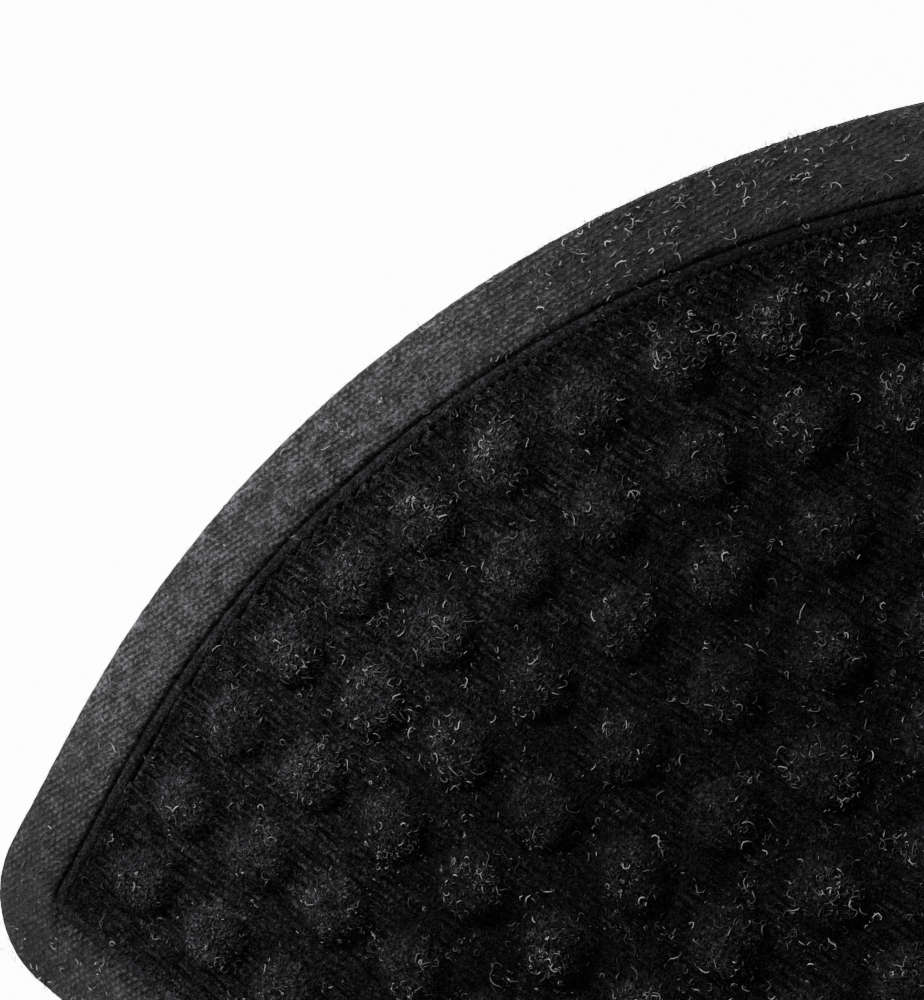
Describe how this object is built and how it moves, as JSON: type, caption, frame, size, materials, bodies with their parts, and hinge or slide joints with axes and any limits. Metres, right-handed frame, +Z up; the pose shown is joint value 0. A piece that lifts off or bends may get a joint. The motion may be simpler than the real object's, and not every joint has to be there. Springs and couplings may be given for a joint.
{
  "type": "doormat",
  "caption": "Half-round moulded rubber doormat with a bevelled border and a recessed flocked field of round studs that scrape soles clean.",
  "frame": {"origin": "on the floor under the middle of the mat's outline", "axes": "+X along the straight edge, +Y towards the round edge, +Z up through the thickness"},
  "size_m": [0.75, 0.45, 0.0088],
  "materials": {
    "rubber": "matt moulded rubber with a fine cloth imprint",
    "flock": "short black flock",
    "fibres": "loose light fibres pressed into the flock"
  },
  "bodies": {
    "root": {"mat": "rubber"}
  },
  "joints": []
}
